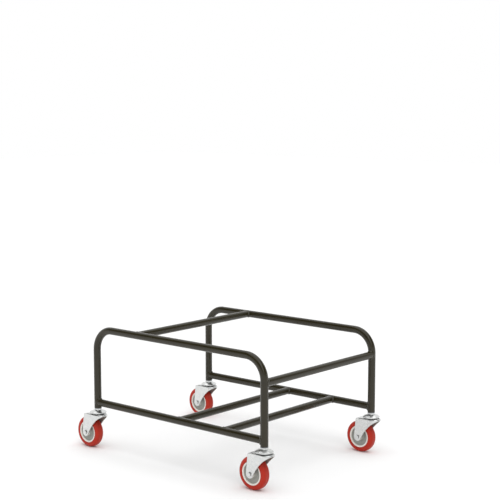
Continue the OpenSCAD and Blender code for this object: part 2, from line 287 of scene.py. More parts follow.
@dataclass(frozen=True)
class Finish:
    """Surface finish that becomes one procedural material: soft patches, a fine grain and soft edges."""

    name: str
    colour: str
    tint: str
    metallic: float
    roughness: float
    spread: float
    shine: float
    glow: float = 0.0
    glow_mm: tuple[float, float, float] = (1.5, 1.5, 1.5)
    patch_mm: float = 10.0
    grain_mm: float = 1.0
    grain_depth_mm: float = 0.01
    edge_mm: float = 0.5
    # Noise stays near its middle, so this part of its range is stretched over the whole spread of a value
    noise_from: float = 0.3
    noise_to: float = 0.7
    patch_detail: float = 3.0
    grain_detail: float = 2.0
    edge_samples: int = 4

    def material(self) -> bpy.types.Material:
        """Build the material, or hand out the one built before.

        Returns:
            The finish's material.
        """
        found = bpy.data.materials.get(self.name)
        if found is not None:
            return found
        material = bpy.data.materials.new(self.name)
        material.use_nodes = True
        shader = material.node_tree.nodes["Principled BSDF"]
        shader.inputs["Metallic"].default_value = self.metallic
        shader.inputs["Specular IOR Level"].default_value = self.shine
        shader.inputs["Subsurface Weight"].default_value = self.glow
        shader.inputs["Subsurface Radius"].default_value = [MM * reach for reach in self.glow_mm]
        self.dress(material.node_tree, shader)
        return material

    def dress(self, tree: Tree, shader: Node) -> None:
        """Add the soft patches and the grain to the shader."""
        self.grain(tree, shader, self.mottle(tree, shader))

    def mottle(self, tree: Tree, shader: Node) -> Socket:
        """Let colour and roughness drift in soft patches.

        Args:
            tree: node tree of the material.
            shader: shader that takes the colour and the roughness.

        Returns:
            The object's coordinates.
        """
        place = add(tree, "ShaderNodeTexCoord", {}).outputs["Object"]
        patch = add(tree, "ShaderNodeTexNoise", {
            "Vector": place, "Scale": 1 / (self.patch_mm * MM), "Detail": self.patch_detail})
        colour = add(tree, "ShaderNodeMix", {
            MIX_SHARE: patch.outputs["Fac"], MIX_COLOUR_A: linear(self.colour),
            MIX_COLOUR_B: linear(self.tint)}, data_type="RGBA")
        rough = add(tree, "ShaderNodeMapRange", {
            "Value": patch.outputs["Fac"], "From Min": self.noise_from, "From Max": self.noise_to,
            "To Min": self.roughness - self.spread, "To Max": self.roughness + self.spread})
        tree.links.new(colour.outputs[MIXED_COLOUR], shader.inputs["Base Color"])
        tree.links.new(rough.outputs["Result"], shader.inputs["Roughness"])
        return place

    def grain(self, tree: Tree, shader: Node, place: Socket) -> None:
        """Give the surface its fine relief over soft edges.

        Args:
            tree: node tree of the material.
            shader: shader that takes the normal.
            place: coordinates that the relief follows.
        """
        wave = add(tree, "ShaderNodeTexNoise", {
            "Vector": place, "Scale": 1 / (self.grain_mm * MM), "Detail": self.grain_detail})
        soft = add(tree, "ShaderNodeBevel", {"Radius": self.edge_mm * MM}, samples=self.edge_samples)
        bump = add(tree, "ShaderNodeBump", {
            "Height": wave.outputs["Fac"], "Distance": self.grain_depth_mm * MM,
            "Normal": soft.outputs["Normal"]})
        tree.links.new(bump.outputs["Normal"], shader.inputs["Normal"])

    def overlay(self, tree: Tree, shader: Node, share: Socket, colour: str) -> None:
        """Lay a second colour over the shader's own.

        Args:
            tree: node tree of the material.
            shader: shader that takes the colour.
            share: how much of the second colour shows, from 0 to 1.
            colour: the second colour.
        """
        mixed = add(tree, "ShaderNodeMix", {
            MIX_SHARE: share, MIX_COLOUR_A: shader.inputs["Base Color"].links[0].from_socket,
            MIX_COLOUR_B: linear(colour)}, data_type="RGBA")
        tree.links.new(mixed.outputs[MIXED_COLOUR], shader.inputs["Base Color"])


@dataclass(frozen=True)
class PowderCoat(Finish):
    """Baked powder coat: a thick semi-gloss film, warm black, with slow drifts of gloss and orange peel."""

    patch_mm: float = 60.0
    # Real orange peel is 1 to 3 mm wide; it is drawn at its coarse end so that it shows
    grain_mm: float = 3.0
    grain_depth_mm: float = 0.06
    edge_mm: float = 1.0


@dataclass(frozen=True)
class ZincPlate(Finish):
    """Bright zinc plate on pressed steel: cloudy pale metal with fine drawing lines, dirt with painted shade
    in the forks, and grease with painted shade in gaps.
    """

    patch_mm: float = 7.0
    # Drawing lines are finer than this on the real sheet; they are drawn at 1.2 mm so that they show
    grain_mm: float = 1.2
    grain_depth_mm: float = 0.005
    line_stretch: tuple[float, float, float] = (1.0, 1.0, 0.12)
    edge_mm: float = 0.7
    # Near-black grease, which also paints the shade in the gap under the domed race and at the feet of bolt
    # heads and nuts
    grease_and_shade: str = "#17130d"
    # Dull grey-brown coat without metal: dirt, and painted shade in the hollows of the forks
    dirt_and_shade: str = "#989085"
    dirt_and_shade_metallic: float = 0.0
    dirt_and_shade_patch_mm: float = 9.0
    dirt_and_shade_thin: float = 0.65
    # Places of the four swivel axes to either side of the middle, and a height that is over the whole trolley
    axis_x_mm: float = 331.0
    axis_y_mm: float = 249.0
    above_mm: float = 1000.0
    # Hollow of a fork, seen from its swivel axis: its width, the centre of its nose, and its crown and tail
    hollow_w_mm: float = 36.0
    nose_mm: float = 10.0
    crown_z_mm: float = 108.5
    tail_z_mm: float = 105.1
    tail_bend_mm: float = 18.0
    tail_mm: float = 42.0
    # Dirt and painted shade reach this far from the hollow into the sheet, and fade out over this width
    past_mm: float = 0.4
    fade_mm: float = 1.0

    def dirt_and_shade_share(self, tree: Tree, place: Socket) -> Socket:
        """Share of dirt and painted shade on a point: both gather in the hollow of a fork, thinner in
        patches.

        The point is first taken relative to the swivel axis of its own caster. Its distance from the fork's
        middle line, which ends at the centre of the round nose, has to be less than half the hollow's width,
        and it has to lie below the crown, whose top slopes down from the bend to the end of the tail.

        Args:
            tree: node tree of the material.
            place: the object's coordinates.

        Returns:
            The share, from 0 to 1.
        """
        cell = np.array([self.axis_x_mm, self.axis_y_mm, self.above_mm]) * MM
        moved = add(tree, "ShaderNodeVectorMath", {0: place, 1: cell * (1, 1, 0)}, operation="ADD")
        own = add(tree, "ShaderNodeVectorMath", {0: moved.outputs[0], 1: cell, 2: -cell}, operation="WRAP")
        part = add(tree, "ShaderNodeSeparateXYZ", {0: own.outputs[0]})
        past = add(tree, "ShaderNodeMapRange", {
            "Value": part.outputs["X"], "From Min": self.nose_mm * MM,
            "From Max": (self.nose_mm + self.hollow_w_mm) * MM, "To Max": self.hollow_w_mm * MM})
        across = add(tree, "ShaderNodeCombineXYZ", {"X": past.outputs["Result"], "Y": part.outputs["Y"]})
        out = add(tree, "ShaderNodeVectorMath", {0: across.outputs[0]}, operation="LENGTH")
        edge = self.hollow_w_mm / 2 + self.past_mm
        between = add(tree, "ShaderNodeMapRange", {
            "Value": out.outputs["Value"], "From Min": edge * MM, "From Max": (edge + self.fade_mm) * MM,
            "To Min": 1.0, "To Max": 0.0})
        roof = add(tree, "ShaderNodeMapRange", {
            "Value": part.outputs["X"], "From Min": -self.tail_mm * MM, "From Max": -self.tail_bend_mm * MM,
            "To Min": self.tail_z_mm * MM, "To Max": self.crown_z_mm * MM})
        depth = add(tree, "ShaderNodeMath", {0: roof.outputs["Result"], 1: part.outputs["Z"]},
                    operation="SUBTRACT")
        under = add(tree, "ShaderNodeMapRange", {
            "Value": depth.outputs[0], "From Min": self.fade_mm * MM, "From Max": 2 * self.fade_mm * MM})
        inside = add(tree, "ShaderNodeMath", {0: between.outputs["Result"], 1: under.outputs["Result"]},
                     operation="MULTIPLY")
        patch = add(tree, "ShaderNodeTexNoise", {
            "Vector": place, "Scale": 1 / (self.dirt_and_shade_patch_mm * MM), "Detail": self.patch_detail})
        cover = add(tree, "ShaderNodeMapRange", {
            "Value": patch.outputs["Fac"], "From Min": self.noise_from, "From Max": self.noise_to,
            "To Min": self.dirt_and_shade_thin, "To Max": 1.0})
        share = add(tree, "ShaderNodeMath", {0: inside.outputs[0], 1: cover.outputs["Result"]},
                    operation="MULTIPLY")
        return share.outputs[0]

    def dress(self, tree: Tree, shader: Node) -> None:
        """Add cloudy plating, upright drawing lines, dirt with painted shade in the forks, and the grease
        with painted shade that a mesh stores.

        Args:
            tree: node tree of the material.
            shader: the material's shader.
        """
        place = self.mottle(tree, shader)
        drawn = add(tree, "ShaderNodeMapping", {"Vector": place, "Scale": self.line_stretch})
        self.grain(tree, shader, drawn.outputs["Vector"])
        # Painted shade with dirt: inside a fork's hollow the zinc turns to a dull grey-brown without metal
        dirt_and_shade = self.dirt_and_shade_share(tree, place)
        self.overlay(tree, shader, dirt_and_shade, self.dirt_and_shade)
        metal = add(tree, "ShaderNodeMix", {
            MIX_SHARE: dirt_and_shade, MIX_FLOAT_A: self.metallic, MIX_FLOAT_B: self.dirt_and_shade_metallic}, data_type="FLOAT")
        tree.links.new(metal.outputs[MIXED_FLOAT], shader.inputs["Metallic"])
        # Painted shade with grease: a near-black film where a mesh stores it, in gaps and at the feet of
        # fasteners
        greased_and_shaded = add(tree, "ShaderNodeAttribute", {}, attribute_name="greased_and_shaded")
        self.overlay(tree, shader, greased_and_shaded.outputs["Fac"], self.grease_and_shade)


@dataclass(frozen=True)
class Polyurethane(Finish):
    """Cast polyurethane tread: even red, satin, with a duller and dustier running band."""

    glow: float = 0.06
    glow_mm: tuple[float, float, float] = (4.0, 1.0, 0.8)
    patch_mm: float = 14.0
    # Cast grain is finer than this; it is drawn at 1.5 mm so that it shows
    grain_mm: float = 1.5
    grain_depth_mm: float = 0.012
    edge_mm: float = 0.6
    scuff_mm: float = 4.0
    scuff_detail: float = 4.0
    dust: str = "#7d3a30"
    dust_share: float = 0.35
    band_roughness: float = 0.48

    def dress(self, tree: Tree, shader: Node) -> None:
        """Add the cast grain, then let the running band, stored on the mesh, dull the gloss and colour.

        Args:
            tree: node tree of the material.
            shader: the material's shader.
        """
        place = self.mottle(tree, shader)
        self.grain(tree, shader, place)
        band = add(tree, "ShaderNodeAttribute", {}, attribute_name="running_band")
        scuff = add(tree, "ShaderNodeTexNoise", {
            "Vector": place, "Scale": 1 / (self.scuff_mm * MM), "Detail": self.scuff_detail})
        worn = add(tree, "ShaderNodeMath", {0: band.outputs["Fac"], 1: scuff.outputs["Fac"]},
                   operation="MULTIPLY")
        share = add(tree, "ShaderNodeMath", {0: worn.outputs[0], 1: self.dust_share}, operation="MULTIPLY")
        self.overlay(tree, shader, share.outputs[0], self.dust)
        dull = add(tree, "ShaderNodeMix", {
            MIX_SHARE: worn.outputs[0], MIX_FLOAT_A: shader.inputs["Roughness"].links[0].from_socket,
            MIX_FLOAT_B: self.band_roughness}, data_type="FLOAT")
        tree.links.new(dull.outputs[MIXED_FLOAT], shader.inputs["Roughness"])


@dataclass(frozen=True)
class MouldedPlastic(Finish):
    """Injection-moulded plastic: even colour with a slight flow pattern and a fine mould grain."""

    patch_mm: float = 16.0
    # Mould grain is finer than this; it is drawn at 1 mm so that it shows
    grain_mm: float = 1.0
    grain_depth_mm: float = 0.01
    edge_mm: float = 0.5


@dataclass(frozen=True)
class PlainSteel(Finish):
    """Plain turned or ground steel: grey metal with faint turning marks and a trace of oil."""

    patch_mm: float = 5.0
    # Turning marks are finer than this; they are drawn at 0.8 mm so that they show
    grain_mm: float = 0.8
    grain_depth_mm: float = 0.005
    edge_mm: float = 0.4


FINISH_OF_SLOT: dict[Slot, Finish] = {
    # Powder coat over steel: dark and warm, with soft white streaks from the floor and the walls
    Slot.COAT: PowderCoat("black_powder_coat_on_steel", "#24200e", "#2b2613",
                          metallic=0.0, roughness=0.19, spread=0.04, shine=0.45),
    # Bright zinc over pressed sheet: a pale, blurred mirror outside, dull inside the forks with dirt and
    # painted shade
    Slot.ZINC: ZincPlate("bright_zinc_plate_on_pressed_steel", "#e6e6e3", "#cfd2d3",
                         metallic=1.0, roughness=0.3, spread=0.06, shine=0.5),
    # Turned steel left plain: darker and greyer than the zinc
    Slot.STEEL: PlainSteel("plain_turned_steel", "#9a9da0", "#888b8f",
                           metallic=1.0, roughness=0.36, spread=0.06, shine=0.5),
    # Cast polyurethane: deep even red, satin on the faces and dusty where it runs
    Slot.TREAD: Polyurethane("cast_red_polyurethane", "#b92f1b", "#ad2616",
                             metallic=0.0, roughness=0.34, spread=0.05, shine=0.22),
    # Moulded nylon: milky off-white, with a little light inside its edges
    Slot.NYLON: MouldedPlastic("moulded_white_nylon", "#f4f1eb", "#eeeae2",
                               metallic=0.0, roughness=0.36, spread=0.05, shine=0.5, glow=0.1),
    # Moulded ABS: plain mid grey with a dull sheen
    Slot.GUARD: MouldedPlastic("moulded_grey_abs", "#9c9d96", "#94958e",
                               metallic=0.0, roughness=0.46, spread=0.05, shine=0.5),
}


def make_piece(name: str, skins: Sequence[Skin], slot: Slot, body: str, stands_for: Sequence[str] = (),
               sharp_deg: float = 32.0) -> bpy.types.Object:
    """Put skins into one mesh at the origin, finish it and let it move with its body.

    Args:
        name: name of the piece.
        skins: closed skins of the piece, in millimetres.
        slot: material slot of the record that the piece takes its finish from.
        body: CAD body that carries the piece.
        stands_for: CAD nodes that the piece replaces.
        sharp_deg: edges that turn more than this stay sharp.

    Returns:
        The new object.
    """
    firsts = np.cumsum([0] + [len(skin.points) for skin in skins[:-1]])
    points = np.concatenate([skin.points for skin in skins]) * MM
    mesh = bpy.data.meshes.new(name)
    mesh.from_pydata(points.tolist(), [], sum((skin.faces(n) for skin, n in zip(skins, firsts)), []))
    shell = bmesh.new()
    shell.from_mesh(mesh)
    bmesh.ops.recalc_face_normals(shell, faces=shell.faces)
    shell.to_mesh(mesh)
    shell.free()
    mesh.polygons.foreach_set("use_smooth", np.ones(len(mesh.polygons), bool))
    mesh.set_sharp_from_angle(angle=radians(sharp_deg))
    mesh.materials.append(FINISH_OF_SLOT[slot].material())
    piece = bpy.data.objects.new(name, mesh)
    bpy.context.scene.collection.objects.link(piece)
    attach(piece, body)
    if stands_for:
        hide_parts(*stands_for)
    LOG.info("%s: %d points on body %s", name, len(points), body)
    return piece


def mesh_points(piece: bpy.types.Object) -> Array:
    """Read the points of a piece's mesh.

    Args:
        piece: the piece.

    Returns:
        Points in millimetres, one row each.
    """
    points = np.empty(len(piece.data.vertices) * 3, np.float32)
    piece.data.vertices.foreach_get("co", points)
    return points.reshape(-1, 3) / MM


def store(piece: bpy.types.Object, name: str, values: Array) -> None:
    """Store one value for each point of a piece, for its finish to read.

    Args:
        piece: the piece.
        name: name of the attribute.
        values: value at each point.
    """
    attribute = piece.data.attributes.new(name, "FLOAT", "POINT")
    attribute.data.foreach_set("value", values.astype(np.float32))


@dataclass(frozen=True)
class TeeJoint:
    """End of one tube welded to the side of another of the same width."""

    name: str
    at: Point
    side_along: Point
    end_along: Point


@dataclass(frozen=True)
class TubeFrame:
    """Welded frame: two hoops, two crossbars, two stop rails and two support rails."""

    tube_r: float = 11.1
    bead_leg: float = 4.0
    bead_flat_h: float = 0.5
    bead_depth: float = 1.4
    bead_peak_soft_share: float = 0.15
    bead_lift_share: float = 0.8
    bead_columns: int = 180
    bead_rows: int = 9
    bead_sharp_deg: float = 60.0
    ripple_count: int = 26
    ripple_share: float = 0.10

    def joints(self) -> list[TeeJoint]:
        """List the welded joints, with their places worked out from the boxes of the CAD tubes.

        Returns:
            Twelve joints, six on each hoop.
        """
        right_way, left_way, up = (1.0, 0.0, 0.0), (-1.0, 0.0, 0.0), (0.0, 0.0, 1.0)
        back_x, front_z = middle_mm("back_rail")[0], middle_mm("front_rail")[2]
        found = []
        for hoop, inward in (("near", (0.0, 1.0, 0.0)), ("far", (0.0, -1.0, 0.0))):
            low, high = box_mm(f"{hoop}_hoop")
            left, right, top = low[0] + self.tube_r, high[0] - self.tube_r, high[2] - self.tube_r
            _, y, bar_z = middle_mm(f"{hoop}_crossbar")
            found.append(TeeJoint(f"{hoop}_left_crossbar", (left, y, bar_z), up, right_way))
            found.append(TeeJoint(f"{hoop}_right_crossbar", (right, y, bar_z), up, left_way))
            found.append(TeeJoint(f"{hoop}_back_rail", (back_x, y, top), right_way, inward))
            found.append(TeeJoint(f"{hoop}_front_rail", (right, y, front_z), up, inward))
            for rail in ("rear", "front"):
                rail_x = middle_mm(f"{rail}_support_rail")[0]
                found.append(TeeJoint(f"{hoop}_{rail}_support", (rail_x, y, bar_z), right_way, inward))
        return found

    def bead(self, joint: TeeJoint) -> Skin:
        """Weld bead round the end of one tube on the side of another.

        The corner line lies on the end tube, one tube radius times the cosine of its angle from the side
        tube's axis, with its two peaks softened. Across the bead a quadratic curve runs from the end tube to
        the side tube over a lifted control point, which ripples along the bead, and the bead closes inside
        the tubes.

        Args:
            joint: the joint to weld.

        Returns:
            The bead's skin.
        """
        around = np.linspace(0, FULL_TURN, self.bead_columns, endpoint=False)
        c, s, zero = np.cos(around), np.sin(around), np.zeros(self.bead_columns)
        peak = np.sqrt(c ** 2 + self.bead_peak_soft_share ** 2)
        corner = self.tube_r * np.stack([c, peak, s], -1)
        path = np.stack([-s, -c * s / peak, c], -1)
        path /= np.linalg.norm(path, axis=1, keepdims=True)
        end_normal = np.stack([c, zero, s], -1)
        side_normal = corner * (0, 1, 1)
        side_normal /= np.linalg.norm(side_normal, axis=1, keepdims=True)
        end_way, side_way = np.array([[0.0, 1.0, 0.0]]), np.cross(side_normal, path)
        outward = end_normal + side_normal
        outward /= np.linalg.norm(outward, axis=1, keepdims=True)
        on_end = corner + self.bead_leg * end_way
        on_side = corner + self.bead_leg * side_way
        on_side[:, 1:] *= self.tube_r / np.linalg.norm(on_side[:, 1:], axis=1, keepdims=True)
        hollow = np.linalg.norm(end_way + side_way, axis=1, keepdims=True) / np.sqrt(2)
        ripple = 1 + self.ripple_share * np.sin(self.ripple_count * around)[:, None]
        lift = self.bead_lift_share * self.bead_leg * hollow + 2 * self.bead_flat_h * (1 - hollow)
        control = corner + lift * ripple * outward
        t = np.linspace(0, 1, self.bead_rows)[:, None, None]
        crown = (1 - t) ** 2 * on_end + 2 * t * (1 - t) * control + t ** 2 * on_side
        inside = np.stack([on_side - self.bead_depth * side_normal, corner - self.bead_depth * outward,
                           on_end - self.bead_depth * end_normal])
        basis = np.array([joint.side_along, joint.end_along, np.cross(joint.side_along, joint.end_along)])
        return loft(np.concatenate([crown, inside]) @ basis + np.array(joint.at), True)

    def build(self) -> None:
        """Weld every joint of the frame."""
        for joint in self.joints():
            make_piece(f"weld_{joint.name}", [self.bead(joint)], Slot.COAT, "frame",
                       sharp_deg=self.bead_sharp_deg)


@dataclass(frozen=True)
class Wheel:
    """Wheel with a cast tread, a moulded core and a thread guard on each side."""

    tread_r: float = 47.5
    tread_w: float = 28.0
    tread_shoulder_r: float = 10.0
    tread_foot_r: float = 0.6
    tread_columns: int = 192
    tread_rows: int = 192
    tread_arc_steps: int = 24
    flash_h: float = 0.15
    flash_w: float = 0.5
    band_drop: float = 3.0
    band_fade: float = 2.5
    rim_r: float = 33.5
    rim_bore_r: float = 28.5
    rim_w: float = 26.0
    lip_r: float = 1.1
    web_t: float = 7.0
    web_fillet: float = 1.5
    hub_r: float = 12.0
    hub_bore_r: float = 6.08
    hub_l: float = 35.0
    hub_edge: float = 0.8
    hub_bore_edge: float = 0.4
    rib_count: int = 8
    rib_t: float = 2.5
    rib_root: float = 2.0
    guard_in: float = 8.0
    guard_t: float = 1.5
    guard_lip_w: float = 2.5
    guard_dish: float = 0.5
    eye_foot_w: float = 4.5
    eye_top_w: float = 1.5
    eye_clear: float = 2.5
    # Arcs at the guard's corners, from the back of the eye round by the lip to the top of the eye
    guard_edges: tuple[float, ...] = (0.2, 0.3, 0.4, 0.3, 0.3, 1.2, 0.6, 0.3)
    seat: float = 0.05

    def tread(self, hub: Point) -> Skin:
        """Tyre: a round-shouldered outline turned round the axle, with a low mould line in its middle.

        Args:
            hub: middle of the wheel.

        Returns:
            The tyre's skin.
        """
        half, crown = self.tread_w / 2, self.tread_r - self.flash_h
        corners = [(self.rim_r, -half), (crown, -half), (crown, half), (self.rim_r, half)]
        radii = (self.tread_foot_r, self.tread_shoulder_r, self.tread_shoulder_r, self.tread_foot_r)
        outline = evened(rounded_loop(corners, radii, self.tread_arc_steps), self.tread_rows)
        outer = outline[:, 0] > (self.rim_r + self.tread_r) / 2
        outline[:, 0] += outer * self.flash_h * np.exp(-(outline[:, 1] / self.flash_w) ** 2)
        return revolved(outline, hub, Axis.AXLE, self.tread_columns)

    def running_band(self, piece: bpy.types.Object, hub: Point) -> None:
        """Store on the tyre how much each point runs on the floor: 1 on the tread, 0 past the shoulders.

        Args:
            piece: the tyre.
            hub: middle of the wheel.
        """
        points = mesh_points(piece) - np.asarray(hub, float)
        radius = np.hypot(points[:, 0], points[:, 2])
        band = np.clip((radius - self.tread_r + self.band_drop) / self.band_fade, 0, 1)
        store(piece, "running_band", band)

    def core(self, hub: Point) -> list[Skin]:
        """Core: hub, web and rim as one turned outline, with flat ribs on spokes between hub and rim.

        Args:
            hub: middle of the wheel.

        Returns:
            Skins of the turned body and of each rib.
        """
        end, web, rim = self.hub_l / 2, self.web_t / 2, self.rim_w / 2
        side = [(self.hub_bore_r, -end), (self.hub_r, -end), (self.hub_r, -web), (self.rim_bore_r, -web),
                (self.rim_bore_r, -rim), (self.rim_r - self.seat, -rim)]
        radii = [self.hub_bore_edge, self.hub_edge, self.web_fillet, self.web_fillet, self.lip_r, self.lip_r]
        corners = side + [(r, -w) for r, w in side[::-1]]
        skins = [revolved(rounded_loop(corners, radii + radii[::-1]), hub, Axis.AXLE)]
        inner, outer, half = self.hub_r - self.rib_root, self.rim_bore_r + self.rib_root, self.rib_t / 2
        face = [(inner, -half), (outer, -half), (outer, half), (inner, half)]
        box = np.array([[r, w, t] for w in (-self.guard_in, self.guard_in) for r, t in face])
        for angle in np.arange(self.rib_count) * FULL_TURN / self.rib_count:
            c, s = np.cos(angle), np.sin(angle)
            turn = np.array([[c, 0, s], [0, 1, 0], [-s, 0, c]])
            skins.append(loft((box @ turn + np.asarray(hub, float)).reshape(2, 4, 3), False))
        return skins

    def guards(self, hub: Point) -> list[Skin]:
        """Thread guards: on each side a turned disc with a flat lip, a shallow dish and a tapered eye.

        Args:
            hub: middle of the wheel.

        Returns:
            Skins of both discs.
        """
        inner, outer = self.hub_r + self.seat, self.rim_bore_r - self.seat
        back, face, top = self.guard_in, self.guard_in + self.guard_t, self.hub_l / 2 - self.eye_clear
        lip, dish = outer - self.guard_lip_w, face - self.guard_dish
        corners = [(inner, back), (outer, back), (outer, face), (lip, face), (lip - self.guard_dish, dish),
                   (inner + self.eye_foot_w, dish), (inner + self.eye_top_w, top), (inner, top)]
        outline = rounded_loop(corners, self.guard_edges)
        return [revolved(outline * (1, side), hub, Axis.AXLE) for side in (-1, 1)]

    def build(self, corner: str, hub: Point) -> None:
        """Make the wheel's pieces.

        Args:
            corner: corner of the trolley that the wheel is at.
            hub: middle of the wheel.
        """
        body = f"{corner}_wheel"
        tyre = make_piece(f"{corner}_tread", [self.tread(hub)], Slot.TREAD, body, [f"{corner}_tyre"])
        self.running_band(tyre, hub)
        make_piece(f"{corner}_rim_and_hub", self.core(hub), Slot.NYLON, body, [f"{corner}_wheel_core"])
        make_piece(f"{corner}_guards", self.guards(hub), Slot.GUARD, body, [f"{corner}_thread_guards"])


@dataclass(frozen=True)
class SwivelHead:
    """Top of a caster: the domed race that the fork's balls run under."""

    race_r: float = 25.5
    rim_z: float = 111.3
    rim_h: float = 2.5
    rim_edge: float = 0.9
    other_edge: float = 0.05
    edge_steps: int = 5
    seat_z: float = 120.5
    seat_r: float = 10.97
    bore_r: float = 5.05
    dome_rows: int = 14
    track_r: float = 14.0
    ball_z: float = 110.13
    groove_r: float = 3.08
    groove_rows: int = 13

    def race(self, x: float, y: float) -> Skin:
        """Top race: a dome from the seat to the rim, a straight rim and a round groove underneath, turned.

        The dome is the arc, centred on the swivel axis, through the seat's edge and the rim's top.

        Args:
            x: place of the swivel axis along the hoops.
            y: place of the swivel axis across the hoops.

        Returns:
            The race's skin.
        """
        top = self.rim_z + self.rim_h
        wider, higher = self.race_r ** 2 - self.seat_r ** 2, self.seat_z ** 2 - top ** 2
        middle = (higher - wider) / (2 * (self.seat_z - top))
        out = np.linspace(self.race_r, self.seat_r, self.dome_rows)
        dome_h = np.sqrt(self.race_r ** 2 + (top - middle) ** 2 - out ** 2)
        reach = np.arccos((self.rim_z - self.ball_z) / self.groove_r)
        sweep = np.linspace(-reach, reach, self.groove_rows)
        groove = np.stack([np.sin(sweep), np.cos(sweep)], -1) * self.groove_r + (self.track_r, self.ball_z)
        corners = np.vstack([[self.bore_r, self.rim_z], groove, [self.race_r, self.rim_z],
                             np.stack([out, middle + dome_h], -1), [self.bore_r, self.seat_z]])
        radii = np.full(len(corners), self.other_edge)
        radii[self.groove_rows + 1:self.groove_rows + 3] = self.rim_edge
        return revolved(rounded_loop(corners, radii, self.edge_steps), (x, y, 0.0), Axis.UP)

    def build(self, corner: str, x: float, y: float) -> None:
        """Make the race and store grease with painted shade on its underside, in the gap over the crown: the
        inner points up to the groove's top.

        Args:
            corner: corner of the trolley that the race is at.
            x: place of the swivel axis along the hoops.
            y: place of the swivel axis across the hoops.
        """
        piece = make_piece(f"{corner}_domed_race", [self.race(x, y)], Slot.ZINC, "frame",
                           [f"{corner}_top_race"])
        points = mesh_points(piece)
        inside = np.hypot(points[:, 0] - x, points[:, 1] - y) < self.race_r - self.rim_edge
        low = points[:, 2] < self.ball_z + self.groove_r + self.other_edge
        # Painted shade in the gap between race and crown, drawn as near-black grease on the race's underside
        store(piece, "greased_and_shaded", inside & low)


